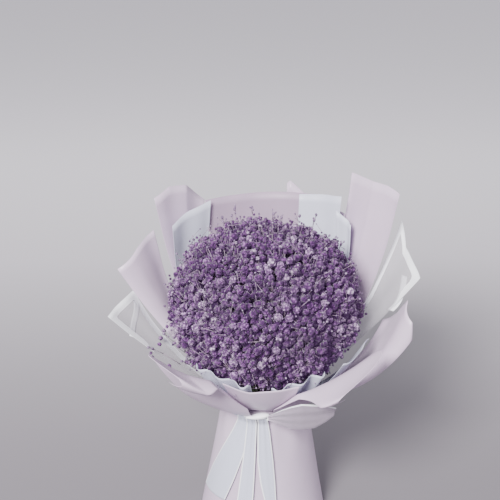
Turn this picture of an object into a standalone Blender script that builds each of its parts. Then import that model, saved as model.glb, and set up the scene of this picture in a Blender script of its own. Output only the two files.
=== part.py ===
"""Bouquet of dyed gypsophila, wrapped in paper sheets and standing on its paper sleeve.

Azimuths are in degrees round the upright axis: 0 faces the front (-Y), 90 the right (+X),
180 the back and 270 the left. Sizes are in millimetres and become metres as a mesh is made.
"""
import math

import bmesh
import bpy
import numpy as np

MM = 0.001
GAP = 0.3

# Driving dimensions of the whole bouquet
TIE_HEIGHT = 108.0
WAIST_HEIGHT = 170.0
WAIST_RADIUS = 53.0
SLEEVE_TOP = 166.0
SLEEVE_WALL = 0.8
SLEEVE_FLARE = 0.155
SLEEVE_SWELL = 0.0001
BAND_LOW = 164.0
BAND_HIGH = 169.0
DOME_CENTRE = 296.0
DOME_RADIUS = 117.0
DOME_HALF_HEIGHT = 100.0
SHEET_THICKNESS = 0.7
NECK_SHARE = 0.12
ROLL_STEPS = 5

# Sprays: stems leaning in two rings round a middle one, and heads that fan out to the dome
STEM_RADIUS = 1.5
STEM_LEVELS = (0.0, 80.0, 108.0, 136.0)
STEM_TOP = 192.0
STEM_NECK = 10.0
FAN_APEX = 141.0
HEAD_GROWTH = ((0.0, 0.05), (0.3, 0.42), (0.65, 0.72), (1.0, 0.975))
CROWN_INSETS = (0.85, 0.5)
SPRAY_SIDES = 12
TWIST = 78.3
MIDDLE_POLAR = 24.0
SPRAY_RINGS = (
    {"name": "spray_inner", "count": 6, "polar": (25.0, 57.0),
     "ring_radius": 4.2, "slope": 0.22, "margin": 0.8},
    {"name": "spray_outer", "count": 12, "polar": (58.0, 130.0),
     "ring_radius": 8.4, "slope": 0.45, "margin": 0.4},
)

# Ribbon and tie
RIBBON_WALL = 0.5
BAND_WALL = 0.6
BAND_GAP = 0.4
STRING_SIZE = 2.2
STRING_TURNS = 4
TIE_INSIDE = 10.7

PAPER_TONE = (0.50, 0.42, 0.50)
LINER_TONE = (0.60, 0.63, 0.68)
FLOWER_TONE = (0.30, 0.18, 0.38)
STRING_TONE = (0.45, 0.50, 0.38)


def remove_start_objects():
    for thing in list(bpy.data.objects):
        bpy.data.objects.remove(thing, do_unlink=True)


def make_material(name, colour, roughness):
    material = bpy.data.materials.new(name)
    material.use_nodes = True
    shader = material.node_tree.nodes["Principled BSDF"]
    shader.inputs["Base Color"].default_value = (*colour, 1.0)
    shader.inputs["Roughness"].default_value = roughness
    shader.inputs["Metallic"].default_value = 0.0
    return material


def add_object(name, mesh_data, colour, roughness=0.7):
    """Turn a bmesh, in millimetres, into a named object in metres with its own material."""
    bmesh.ops.scale(mesh_data, vec=(MM, MM, MM), verts=mesh_data.verts)
    mesh = bpy.data.meshes.new(name)
    mesh_data.to_mesh(mesh)
    mesh_data.free()
    mesh.materials.append(make_material(name + "_finish", colour, roughness))
    mesh.shade_smooth()
    mesh.set_sharp_from_angle(angle=math.radians(40))
    thing = bpy.data.objects.new(name, mesh)
    bpy.context.scene.collection.objects.link(thing)
    return thing


def outward(azimuth):
    """Level direction away from the axis at an azimuth."""
    angle = math.radians(azimuth)
    return np.array([math.sin(angle), -math.cos(angle), 0.0])


def sideways(azimuth):
    """Level direction round the axis, to the right of outward seen from outside."""
    angle = math.radians(azimuth)
    return np.array([math.cos(angle), math.sin(angle), 0.0])


def smooth_step(value):
    value = np.clip(value, 0.0, 1.0)
    return value * value * (3.0 - 2.0 * value)


def mix(start, end, share):
    return start + (end - start) * share


def sleeve_radius(height):
    """Outer radius of the flared sleeve at a height."""
    drop = WAIST_HEIGHT - height
    return WAIST_RADIUS + SLEEVE_FLARE * drop + SLEEVE_SWELL * drop * drop


# Sheets of wrapping


def rise_point(rise, share):
    """Radius and height along a sheet: its tucked foot, its neck, a bend and its rim."""
    foot, neck, bend, rim = (np.array(point, float) for point in rise)
    if share < NECK_SHARE:
        return mix(foot, neck, share / NECK_SHARE)
    t = (share - NECK_SHARE) / (1.0 - NECK_SHARE)
    inside = min(t, 1.0)
    curve = (1 - inside) ** 2 * neck + 2 * inside * (1 - inside) * bend + inside ** 2 * rim
    return curve + (t - inside) * 2.0 * (rim - bend)


def section(sheet, share, steps=96):
    """Cross-section of a sheet at a share of its rise: points from its left to its right edge."""
    open_share = min(share, 1.3)
    width = mix(*sheet["width"], open_share ** sheet.get("flare", 1.0))
    radius, height = rise_point(sheet["rise"], share)
    bow = 1.0 / (radius * mix(1.0, sheet.get("flatness", 1.1), min(share, 1.0)))
    across = np.linspace(-width / 2, width / 2, steps + 1)
    bend = np.full(steps + 1, bow)
    for side, curl in ((-1, sheet.get("curl_left")), (1, sheet.get("curl_right"))):
        if curl is None:
            continue
        length, roll, way = curl
        growth = 0.12 + 0.88 * open_share
        strip = length * growth
        tightness = way / (roll * growth)
        blend = smooth_step((side * across - (width / 2 - strip)) / (0.35 * strip))
        blend = blend * smooth_step((share - NECK_SHARE) / 0.3)
        bend = mix(bend, tightness, blend)
    step = across[1] - across[0]
    heading = np.concatenate([[0.0], np.cumsum((bend[1:] + bend[:-1]) / 2 * step)])
    heading = heading - heading[steps // 2]
    middle = (heading[1:] + heading[:-1]) / 2
    run = np.concatenate([[0.0], np.cumsum(np.cos(middle) * step)])
    depth = np.concatenate([[0.0], np.cumsum(np.sin(middle) * step)])
    run = run - run[steps // 2]
    depth = depth - depth[steps // 2]
    place = mix(*sheet["facing"], open_share)
    facing = place + sheet.get("turn", 0.0) * smooth_step(share)
    points = outward(place) * radius + np.outer(run, sideways(facing)) - np.outer(depth, outward(facing))
    points[:, 2] = height
    return points


def row_share(row, rows, top):
    """The second row of points lies on the neck, where the sheet bends outwards."""
    if row == 0:
        return 0.0
    return mix(NECK_SHARE, top, (row - 1) / (rows - 1))


def roll_top(strand, radius, turn, facing, slant):
    """Carry a strand of a sheet on from its top in an arc that rolls towards an azimuth and down."""
    along = strand[-1] - strand[-2]
    along = along / np.linalg.norm(along)
    level = outward(facing)
    away = level - along * np.dot(level, along)
    away = away / np.linalg.norm(away)
    angles = [math.radians(turn) * (step + 1) / ROLL_STEPS for step in range(ROLL_STEPS)]
    arc = [strand[-1] + radius * (math.sin(angle) * along + (1.0 - math.cos(angle)) * away)
           + sideways(facing) * slant * (1.0 - math.cos(angle)) / 2.0 for angle in angles]
    return np.array(list(strand) + arc)


def sheet_grid(sheet, columns, rows):
    """Points of a sheet, row by row from its foot to its top outline, and on round its rolled top."""
    even = np.linspace(-1.0, 1.0, columns + 1)
    across = 0.45 * even + 0.55 * np.sin(even * math.pi / 2)
    outline = np.array(sheet["top"], float)
    top = np.interp(across, outline[:, 0], outline[:, 1])
    levels = np.linspace(0.0, top.max(), 60)
    sections = np.array([section(sheet, level) for level in levels])
    places = np.linspace(-1.0, 1.0, sections.shape[1])
    roll = sheet.get("roll")
    plain_rows = rows - ROLL_STEPS if roll else rows
    grid = np.zeros((rows + 1, columns + 1, 3))
    for column in range(columns + 1):
        strand = np.array([[np.interp(across[column], places, line[:, axis]) for axis in range(3)]
                           for line in sections])
        shares = [row_share(row, plain_rows, top[column]) for row in range(plain_rows + 1)]
        points = np.array([[np.interp(share, levels, strand[:, axis]) for axis in range(3)]
                           for share in shares])
        if roll:
            reach = (across[column] + 1.0) / 2.0
            points = roll_top(points, mix(*roll["radius"], reach), mix(*roll["turn"], reach),
                              roll["facing"], mix(*roll["slant"], reach))
        grid[:, column] = points
    return grid


def add_sheet(name, tone, **sheet):
    columns, rows = 14, 7 + (ROLL_STEPS - 1 if "roll" in sheet else 0)
    grid = sheet_grid(sheet, columns, rows)
    cloth = bmesh.new()
    bmesh.ops.create_grid(cloth, x_segments=columns, y_segments=rows, size=1.0)
    for corner in cloth.verts:
        column = round((corner.co.x + 1.0) / 2.0 * columns)
        row = round((corner.co.y + 1.0) / 2.0 * rows)
        corner.co = grid[row, column]
    thing = add_object(name, cloth, tone)
    shell = thing.modifiers.new("paper_thickness", "SOLIDIFY")
    shell.thickness = SHEET_THICKNESS * MM
    shell.offset = 0.0
    shell.use_even_offset = True
    return thing


def layer(number):
    """Foot and neck of a sheet in the numbered layer of the gathered waist, from the inside out."""
    radius = 41.5 + 1.5 * number
    return (radius, 142.0), (radius + 1.0, WAIST_HEIGHT + 5.0 - 0.9 * number)


def make_liners():
    inner = layer(0)
    add_sheet("liner_upper_left", LINER_TONE, facing=(235, 226), rise=(*inner, (128, 212), (131, 365)),
              width=(18, 65), flare=0.88, top=[(-1, 1.06), (0, 1.04), (1, 1.01)])
    add_sheet("liner_upper_right", LINER_TONE, facing=(153, 146), rise=(*inner, (126, 212), (131, 380)),
              width=(18, 60), flare=0.8, top=[(-1, 1.05), (1, 1.03)])
    add_sheet("liner_right", LINER_TONE, facing=(121, 129), rise=(*inner, (127, 212), (131, 354)),
              width=(14, 27), top=[(-1, 1.04), (1, 1.08)])
    add_sheet("liner_lower_right", LINER_TONE, facing=(62, 60), rise=(*inner, (92, 202), (126, 264)),
              width=(18, 66), top=[(-1, 0.97), (1, 1.0)])
    add_sheet("liner_front_right", LINER_TONE, facing=(24, 22), rise=(*inner, (68, 184), (101, 240)),
              width=(20, 64), top=[(-1, 0.95), (1, 1.05)])
    add_sheet("liner_front_left", LINER_TONE, facing=(332, 330), rise=(*inner, (68, 184), (101, 242)),
              width=(20, 70), top=[(-1, 1.05), (1, 0.98)])


def make_wings():
    add_sheet("wing_right", LINER_TONE, facing=(98, 101), turn=24,
              rise=(*layer(1), (120, 228), (195, 362)), width=(10, 77), flatness=2.1, flare=2.05,
              top=[(-1, 0.87), (0.45, 0.95), (1, 1.04)])
    add_sheet("wing_left", LINER_TONE, facing=(272, 268), turn=-22,
              rise=(*layer(4), (122, 220), (173, 288)), width=(15, 66), flatness=2.0, flare=1.76,
              top=[(-1, 1.04), (1, 1.0)])


def make_papers():
    add_sheet("paper_back", PAPER_TONE, facing=(180, 178), rise=(*layer(1), (131, 212), (138, 389)),
              width=(34, 172), flatness=1.05, top=[(-1, 1.01), (0, 1.0), (1, 0.99)])
    add_sheet("paper_front", PAPER_TONE, facing=(359, 357), rise=(*layer(1), (74, 182), (107, 238)),
              width=(22, 86), top=[(-1, 1.03), (-0.3, 0.97), (1, 1.02)])
    add_sheet("paper_upper_left", PAPER_TONE, facing=(229, 224), rise=(*layer(2), (134, 215), (152, 386)),
              width=(18, 87), flare=2.06, top=[(-1, 0.98), (-0.2, 1.05), (0.4, 1.06), (1, 1.04)])
    add_sheet("paper_upper_right", PAPER_TONE, facing=(130, 119), turn=4,
              rise=(*layer(2), (134, 212), (152, 410)), width=(18, 89), flare=0.7,
              top=[(-1, 1.02), (-0.5, 1.03), (1, 1.03)])
    add_sheet("paper_right", PAPER_TONE, facing=(76, 81), rise=(*layer(3), (124, 196), (156, 280)),
              width=(18, 98), top=[(-1, 0.98), (-0.75, 1.1), (-0.2, 1.18), (0.2, 1.04), (1, 0.9)],
              curl_left=(40, 18, -1))
    add_sheet("paper_left", PAPER_TONE, facing=(255, 258), turn=-11,
              rise=(*layer(3), (117, 234), (157, 346)), width=(13, 79), flare=1.79,
              top=[(-1, 1.06), (0, 1.02), (1, 0.95)], curl_right=(40, 26, -1))
    add_sheet("paper_back_outer", PAPER_TONE, facing=(159, 151), rise=(*layer(3), (138, 214), (152, 398)),
              width=(20, 90), top=[(-1, 0.93), (0.4, 0.965), (0.9, 1.01), (1, 1.0)])
    add_sheet("paper_front_right", PAPER_TONE, facing=(36, 32), turn=-11,
              rise=(*layer(4), (87, 187), (133, 268)), width=(26, 114), flare=0.81,
              top=[(-1, 0.45), (-0.5, 0.74), (0.3, 0.89), (1, 1.02)],
              roll={"radius": (1.5, 23.1), "turn": (52, 229), "facing": 22, "slant": (6, -35)})
    add_sheet("paper_front_left", PAPER_TONE, facing=(328, 325), turn=33,
              rise=(*layer(6), (99, 181), (133, 276)), width=(34, 99), flare=1.27,
              top=[(-1, 0.99), (-0.3, 0.88), (0.2, 0.84), (1, 0.5)],
              roll={"radius": (16.8, 2.9), "turn": (265, 41), "facing": -6, "slant": (16, -1)})


# Sprays of gypsophila


def dome_point(polar, azimuth):
    """Point of the flower dome: polar angle from the top, both angles in degrees."""
    tilt = math.radians(polar)
    point = outward(azimuth) * DOME_RADIUS * math.sin(tilt)
    point[2] = DOME_CENTRE + DOME_HALF_HEIGHT * math.cos(tilt)
    return point


def cell_outline(polar_range, azimuth_range):
    """Polar angle and azimuth of the points round one spray's share of the dome."""
    if polar_range[0] == 0:
        return [(polar_range[1], 360.0 * corner / SPRAY_SIDES) for corner in range(SPRAY_SIDES)]
    side = SPRAY_SIDES // 4
    steps = [number / side for number in range(side)]
    low, high = polar_range
    left, right = azimuth_range
    return ([(high, mix(left, right, step)) for step in steps]
            + [(mix(high, low, step), right) for step in steps]
            + [(low, mix(right, left, step)) for step in steps]
            + [(mix(low, high, step), left) for step in steps])


def stem_centre(ring_radius, ring_azimuth, slope, height):
    """A stem of the spiral is straight and leans round the axis."""
    return (outward(ring_azimuth) * ring_radius + sideways(ring_azimuth) * slope * (height - TIE_HEIGHT)
            + np.array([0.0, 0.0, height]))


def stem_ring(centre, start_azimuth):
    ring = []
    for corner in range(SPRAY_SIDES):
        ring.append(centre + STEM_RADIUS * outward(start_azimuth + 360.0 * corner / SPRAY_SIDES))
    return ring


def spray_rings(polar_range, azimuth_range, ring_radius, slope):
    """Rings of points from the cut end of a stem to the middle of its share of the dome."""
    middle_azimuth = (azimuth_range[0] + azimuth_range[1]) / 2
    outline = cell_outline(polar_range, azimuth_range)
    if ring_radius == 0:
        middle_polar = 0.0
        first_azimuth = 0.0
    else:
        middle_polar = (polar_range[0] + polar_range[1]) / 2
        first_azimuth = middle_azimuth - 60.0
    centre = dome_point(middle_polar, middle_azimuth)
    apex = np.array([0.0, 0.0, FAN_APEX])
    rings = []
    for height in (*STEM_LEVELS, STEM_TOP - STEM_NECK):
        place = stem_centre(ring_radius, middle_azimuth - (TWIST if ring_radius else 0.0), slope, height)
        rings.append(stem_ring(place, first_azimuth))
    reach = (STEM_TOP - FAN_APEX) / (centre[2] - FAN_APEX)
    border = [dome_point(polar, azimuth) for polar, azimuth in outline]
    for share, spread in HEAD_GROWTH:
        place = mix(apex, centre, mix(reach, 1.0, share))
        rings.append([place + (point - centre) * spread for point in border])
    for inset in CROWN_INSETS:
        rings.append([dome_point(mix(middle_polar, polar, inset), azimuth if ring_radius == 0
                                 else mix(middle_azimuth, azimuth, inset))
                      for polar, azimuth in outline])
    return rings, centre


def add_spray(name, polar_range, azimuth_range, ring_radius, slope):
    rings, tip = spray_rings(polar_range, azimuth_range, ring_radius, slope)
    body = bmesh.new()
    loops = [[body.verts.new(point) for point in ring] for ring in rings]
    for lower, upper in zip(loops, loops[1:]):
        for corner in range(SPRAY_SIDES):
            beside = (corner + 1) % SPRAY_SIDES
            body.faces.new((lower[corner], lower[beside], upper[beside], upper[corner]))
    body.faces.new(tuple(reversed(loops[0])))
    top = body.verts.new(tip)
    for corner in range(SPRAY_SIDES):
        body.faces.new((loops[-1][corner], loops[-1][(corner + 1) % SPRAY_SIDES], top))
    bmesh.ops.recalc_face_normals(body, faces=body.faces)
    add_object(name, body, FLOWER_TONE)


def make_sprays():
    add_spray("spray_middle", (0, MIDDLE_POLAR), (0, 360), 0.0, 0.0)
    for ring in SPRAY_RINGS:
        half_cell = 180.0 / ring["count"]
        for number in range(ring["count"]):
            middle = 2.0 * half_cell * number
            reach = half_cell - ring["margin"]
            add_spray(f"{ring['name']}_{number + 1}", ring["polar"], (middle - reach, middle + reach),
                      ring["ring_radius"], ring["slope"])


# Turned pieces: the tie, the sleeve and the ribbon's band


def add_turned(name, profile, colour, steps):
    """Spin a closed profile of radius and height once round the axis."""
    ring = bmesh.new()
    corners = [ring.verts.new((radius, 0.0, height)) for radius, height in profile]
    edges = [ring.edges.new((corners[index - 1], corners[index])) for index in range(len(corners))]
    bmesh.ops.spin(ring, geom=corners + edges, cent=(0, 0, 0), axis=(0, 0, 1), angle=2 * math.pi,
                   steps=steps, use_merge=True)
    bmesh.ops.remove_doubles(ring, verts=ring.verts, dist=0.001)
    bmesh.ops.recalc_face_normals(ring, faces=ring.faces)
    return add_object(name, ring, colour)


def make_tie():
    """String wound round the stems, as a ring with one rib for each turn."""
    low = TIE_HEIGHT - STRING_TURNS * STRING_SIZE / 2
    half = STRING_SIZE / 2
    profile = [(TIE_INSIDE, low)]
    for turn in range(STRING_TURNS):
        for angle in (30, 90, 150):
            lean = math.radians(angle)
            profile.append((TIE_INSIDE + 1.0 + half * math.sin(lean),
                            low + turn * STRING_SIZE + half * (1.0 - math.cos(lean))))
    profile.append((TIE_INSIDE, low + STRING_TURNS * STRING_SIZE))
    add_turned("binding_tie", profile, STRING_TONE, 24)


def make_sleeve():
    outside = [(sleeve_radius(height), height) for height in (0.0, 60.0, 120.0, SLEEVE_TOP)]
    inside = [(radius - SLEEVE_WALL, height) for radius, height in reversed(outside)]
    add_turned("paper_sleeve", outside + inside, PAPER_TONE, 36)


def make_ribbon_band():
    inside = sleeve_radius(BAND_LOW) + BAND_GAP
    outside = inside + BAND_WALL
    profile = [(inside, BAND_LOW), (outside, BAND_LOW), (outside, BAND_HIGH), (inside, BAND_HIGH)]
    add_turned("ribbon_band", profile, LINER_TONE, 36)


# Ribbon pieces in front of the sleeve


def add_strip(name, path, stand_off):
    """A strip on the sleeve. Each line of its path has the azimuth and height of its two edges."""
    columns, rows = 5, len(path) - 1
    strip = bmesh.new()
    bmesh.ops.create_grid(strip, x_segments=columns, y_segments=rows, size=1.0)
    for corner in strip.verts:
        row = round((corner.co.y + 1.0) / 2.0 * rows)
        share = round((corner.co.x + 1.0) / 2.0 * columns) / columns
        left, right, height_left, height_right = path[row]
        height = mix(height_left, height_right, share)
        reach = max(sleeve_radius(height), sleeve_radius(BAND_LOW) + BAND_GAP + GAP) + stand_off
        corner.co = outward(mix(left, right, share)) * reach + np.array([0.0, 0.0, height])
    thing = add_object(name, strip, LINER_TONE)
    shell = thing.modifiers.new("ribbon_thickness", "SOLIDIFY")
    shell.thickness = RIBBON_WALL * MM
    shell.offset = 0.0


def make_tails():
    add_strip("ribbon_tail_left", [(-31, -13, 168, 168), (-42, -18, 143, 145), (-55, -24, 113, 115),
                                   (-68, -32, 80, 82), (-80, -41, 42, 48)], 1.5)
    add_strip("ribbon_tail_middle", [(-21, -9, 168, 168), (-23, -9.5, 126, 126), (-25, -10, 85, 85),
                                     (-27, -11, 45, 45), (-28, -11, 10, 14)], 3.3)
    add_strip("ribbon_tail_right", [(-8, 3, 168, 168), (-8, 6.5, 150, 150), (-7.5, 9.5, 115, 115),
                                    (-4, 11, 85, 85), (0.5, 11.5, 60, 60), (1, 12, 12, 8)], 3.3)


def add_pillow(name, outline, thickness, depth):
    """A flat loop of ribbon: a thin pillow over a leaf-shaped outline given by its back edge."""
    pillow = bmesh.new()
    forward = np.array([0.0, -1.0, 0.0])
    back = [pillow.verts.new(point) for point in outline]
    front = [pillow.verts.new(np.array(point) + thickness * forward) for point in outline]
    middle = np.mean(outline, axis=0)
    back_middle = pillow.verts.new(middle)
    front_middle = pillow.verts.new(middle + (thickness + depth) * forward)
    count = len(outline)
    for index in range(count):
        beside = (index + 1) % count
        pillow.faces.new((front[index], front[beside], front_middle))
        pillow.faces.new((back[beside], back[index], back_middle))
        pillow.faces.new((front[index], back[index], back[beside], front[beside]))
    bmesh.ops.recalc_face_normals(pillow, faces=pillow.faces)
    return add_object(name, pillow, LINER_TONE)


def make_bow():
    loop = [(6, -70, 182), (19, -88, 203), (29, -98, 214), (40, -104, 221), (52, -102, 219),
            (64, -97, 214), (78, -92, 208), (81, -88, 202), (79, -85, 196), (70, -81, 184),
            (58, -77, 173), (43, -75, 169), (31, -74, 169), (18, -71, 172), (6, -69, 176)]
    add_pillow("ribbon_loop", loop, 2.0, 4.0)
    knot = bmesh.new()
    bmesh.ops.create_uvsphere(knot, u_segments=12, v_segments=8, radius=1.0)
    bmesh.ops.scale(knot, vec=(9.5, 4.0, 4.0), verts=knot.verts)
    bmesh.ops.translate(knot, vec=(-4.0, -65.0, 176.0), verts=knot.verts)
    add_object("ribbon_knot", knot, LINER_TONE)


remove_start_objects()
make_sprays()
make_tie()
make_liners()
make_wings()
make_papers()
make_sleeve()
make_ribbon_band()
make_tails()
make_bow()
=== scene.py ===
"""Looks of the wrapped gypsophila bouquet.

Azimuths are in degrees round the upright axis: 0 faces the front (-Y), 90 the right (+X),
180 the back and 270 the left. Sizes are in millimetres and become metres as a mesh is made.
"""
import itertools
import math
import random

import bmesh
import bpy
import numpy as np
from mathutils import Matrix, Vector, noise


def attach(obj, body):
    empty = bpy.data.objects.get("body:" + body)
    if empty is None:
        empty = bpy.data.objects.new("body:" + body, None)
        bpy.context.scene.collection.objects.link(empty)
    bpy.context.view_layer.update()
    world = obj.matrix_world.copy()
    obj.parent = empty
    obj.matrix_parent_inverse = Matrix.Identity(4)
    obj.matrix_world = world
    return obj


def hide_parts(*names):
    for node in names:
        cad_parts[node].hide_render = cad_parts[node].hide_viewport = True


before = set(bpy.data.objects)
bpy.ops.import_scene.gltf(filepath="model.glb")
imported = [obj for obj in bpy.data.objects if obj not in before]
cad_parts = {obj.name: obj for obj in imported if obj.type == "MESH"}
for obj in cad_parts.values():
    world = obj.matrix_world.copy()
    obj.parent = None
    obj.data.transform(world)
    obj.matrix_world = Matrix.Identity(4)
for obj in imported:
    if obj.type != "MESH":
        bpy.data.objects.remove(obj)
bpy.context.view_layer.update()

MM = 0.001
TAU = 2.0 * math.pi

# Driving dimensions of the bouquet
TIE_HEIGHT = 108.0
WAIST_HEIGHT = 170.0
WAIST_RADIUS = 53.0
SLEEVE_TOP = 176.0
SLEEVE_FLARE = 0.155
SLEEVE_SWELL = 0.0001
BAND_LOW = 164.0
BAND_HIGH = 169.0
DOME_CENTRE = 296.0
DOME_RADIUS = 117.0
DOME_HALF_HEIGHT = 100.0
NECK_SHARE = 0.12
FAN_APEX = 141.0
STEM_TOP = 192.0
STEM_RADIUS = 1.5
TWIST = 78.3
SHEET_THICKNESS = 0.35


# Small geometry helpers


def outward(azimuth):
    """Level direction away from the axis at an azimuth."""
    angle = math.radians(azimuth)
    return np.array([math.sin(angle), -math.cos(angle), 0.0])


def sideways(azimuth):
    """Level direction round the axis, to the right of outward seen from outside."""
    angle = math.radians(azimuth)
    return np.array([math.cos(angle), math.sin(angle), 0.0])


def upward(height):
    return np.array([0.0, 0.0, height])


def unit(vector):
    return vector / np.linalg.norm(vector)


def smooth_step(value):
    value = np.clip(value, 0.0, 1.0)
    return value * value * (3.0 - 2.0 * value)


def mix(start, end, share):
    return start + (end - start) * share


def sleeve_radius(height):
    """Outer radius of the flared sleeve at a height."""
    drop = WAIST_HEIGHT - height
    return WAIST_RADIUS + SLEEVE_FLARE * drop + SLEEVE_SWELL * drop * drop


def grid_of(rows, columns, place):
    """Points row by row, each placed by its share of the way up and of the way over."""
    return np.array([[place(row / rows, column / columns) for column in range(columns + 1)]
                     for row in range(rows + 1)])


def new_object(name, data):
    """An object of the scene round a mesh, a curve, a light or a camera."""
    thing = bpy.data.objects.new(name, data)
    bpy.context.scene.collection.objects.link(thing)
    return thing


def new_mesh(name, mesh_data):
    """A mesh made from a bmesh, which is used up."""
    mesh = bpy.data.meshes.new(name)
    mesh_data.to_mesh(mesh)
    mesh_data.free()
    return mesh


def make_object(name, mesh_data, material):
    """Turn a bmesh in metres into an object of the scene."""
    mesh = new_mesh(name, mesh_data)
    mesh.materials.append(material)
    mesh.shade_smooth()
    return new_object(name, mesh)


def claim(piece, slot, nodes):
    """Fix a piece to the root body and hide the nodes that it stands for; its slot is not used."""
    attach(piece, "root")
    if nodes:
        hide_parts(*nodes)


def add_solid(name, mesh_data, look, *nodes):
    """Turn a bmesh in metres into a piece; its look is a material and a slot."""
    material, slot = look
    claim(make_object(name, mesh_data, material), slot, nodes)


# Materials

# Places of the factor, the two colours and the result among the sockets of a colour mixer
MIXER_SOCKETS = (0, 6, 7)
MIXER_RESULT = 2


class Finish:
    """A node material under construction, with short ways to add and link nodes."""

    def __init__(self, name):
        self.material = bpy.data.materials.new(name)
        self.material.use_nodes = True
        self.tree = self.material.node_tree
        self.shader = self.tree.nodes["Principled BSDF"]

    def node(self, kind, **settings):
        """A new node, its sockets and settings named with underscores for spaces."""
        made = self.tree.nodes.new(kind)
        for name, value in settings.items():
            socket = name.replace("_", " ")
            if socket in made.inputs:
                made.inputs[socket].default_value = value
            else:
                setattr(made, name, value)
        return made

    def link(self, output, socket):
        self.tree.links.new(output, socket)

    def feed(self, socket, value):
        """Give a socket another node's output, a colour or a number."""
        if isinstance(value, bpy.types.NodeSocket):
            self.link(value, socket)
        elif isinstance(value, tuple):
            socket.default_value = (*value, 1.0)
        else:
            socket.default_value = value

    def set(self, **values):
        """Feed sockets of the shader, named with underscores for spaces."""
        for name, value in values.items():
            self.feed(self.shader.inputs[name.replace("_", " ")], value)

    def object_place(self):
        return self.node("ShaderNodeTexCoord").outputs["Object"]

    def through(self, kind, source, socket, output, **settings):
        """The output of a new node that is fed from a source."""
        made = self.node(kind, **settings)
        self.link(source, made.inputs[socket])
        return made.outputs[output]

    def texture(self, kind, place, output="Fac", **settings):
        return self.through(kind, place, "Vector", output, **settings)

    def noise(self, scale, detail=3.0, roughness=0.5):
        return self.texture("ShaderNodeTexNoise", self.object_place(), Scale=scale, Detail=detail,
                            Roughness=roughness)

    def attribute(self, name):
        return self.node("ShaderNodeAttribute", attribute_name=name).outputs["Fac"]

    def ramp(self, factor, stops):
        ramp = self.node("ShaderNodeValToRGB")
        points = ramp.color_ramp.elements
        while len(points) < len(stops):
            points.new(0.5)
        for point, (place, colour) in zip(points, stops):
            point.position = place
            point.color = (*colour, 1.0)
        self.link(factor, ramp.inputs["Fac"])
        return ramp.outputs["Color"]

    def blend(self, factor, first, second):
        """Mix two colours, each a link or a fixed colour."""
        mixer = self.node("ShaderNodeMix", data_type="RGBA")
        for socket, value in zip(MIXER_SOCKETS, (factor, first, second)):
            self.feed(mixer.inputs[socket], value)
        return mixer.outputs[MIXER_RESULT]

    def math(self, operation, first, second):
        made = self.node("ShaderNodeMath", operation=operation)
        self.feed(made.inputs[0], first)
        self.feed(made.inputs[1], second)
        return made.outputs[0]

    def clamp(self, value):
        return self.through("ShaderNodeClamp", value, "Value", "Result")

    def step(self, value, low, high):
        """Smooth step from 0 at the low value to 1 at the high one."""
        return self.through("ShaderNodeMapRange", value, "Value", "Result",
                            interpolation_type="SMOOTHSTEP", From_Min=low, From_Max=high)

    def bump(self, height, strength, distance):
        self.set(Normal=self.through("ShaderNodeBump", height, "Height", "Normal",
                                     Strength=strength, Distance=distance))

    def colour(self, output):
        self.set(Base_Color=output)

    def veil(self, clearness):
        """Let light through by a share from 0 to 1."""
        self.set(Alpha=self.math("SUBTRACT", 1.0, clearness))


def shade_of(colour, share):
    return tuple(share * part for part in colour)


def paper_finish(name, light, dark, roughness):
    """Matte wrapping paper: soft clouding, fine fibres and a slight tooth."""
    finish = Finish(name)
    fibre = finish.noise(900.0, 6.0, 0.7)
    tone = finish.ramp(finish.noise(14.0), [(0.3, dark), (0.7, light)])
    finish.colour(finish.blend(finish.math("MULTIPLY", fibre, 0.12), tone, (0.5, 0.42, 0.52)))
    finish.bump(fibre, 0.15, 0.0003)
    finish.set(Roughness=roughness, Specular_IOR_Level=0.5)
    return finish.material


def film_finish(name, sheet_colour, border_colour, border_width, clearness):
    """Translucent sheet with a solid white border along its cut edges."""
    finish = Finish(name)
    inside = finish.math("GREATER_THAN", finish.attribute("edge_distance"), border_width)
    mottle = finish.noise(60.0, 4.0)
    cloudy = finish.ramp(mottle, [(0.35, shade_of(sheet_colour, 0.92)), (0.65, sheet_colour)])
    finish.colour(finish.blend(inside, border_colour, cloudy))
    finish.veil(finish.math("MULTIPLY", inside, clearness))
    finish.bump(mottle, 0.1, 0.0005)
    finish.set(Roughness=0.45)
    return finish.material


def organza_finish(name, colour, hem_width, clearness):
    """Sheer ribbon: fine crossed threads, a shiny face and a pale, denser hem."""
    finish = Finish(name)
    inside = finish.math("GREATER_THAN", finish.attribute("edge_distance"), hem_width)
    place = finish.node("ShaderNodeUVMap", uv_map="cloth").outputs["UV"]
    threads, crossed = (finish.texture("ShaderNodeTexWave", place, Scale=2.2, Distortion=0.3, Detail=1.0,
                                       bands_direction=way) for way in "XY")
    weave = finish.math("MAXIMUM", threads, crossed)
    cloth = finish.blend(finish.math("MULTIPLY", weave, 0.5), shade_of(colour, 0.84), colour)
    finish.colour(finish.blend(inside, (0.94, 0.95, 1.0), cloth))
    gaps = finish.math("SUBTRACT", clearness, finish.math("MULTIPLY", weave, 0.15))
    finish.veil(finish.math("MULTIPLY", inside, gaps))
    finish.bump(weave, 0.2, 0.0002)
    finish.set(Roughness=0.38, Sheen_Weight=0.3)
    return finish.material


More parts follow.
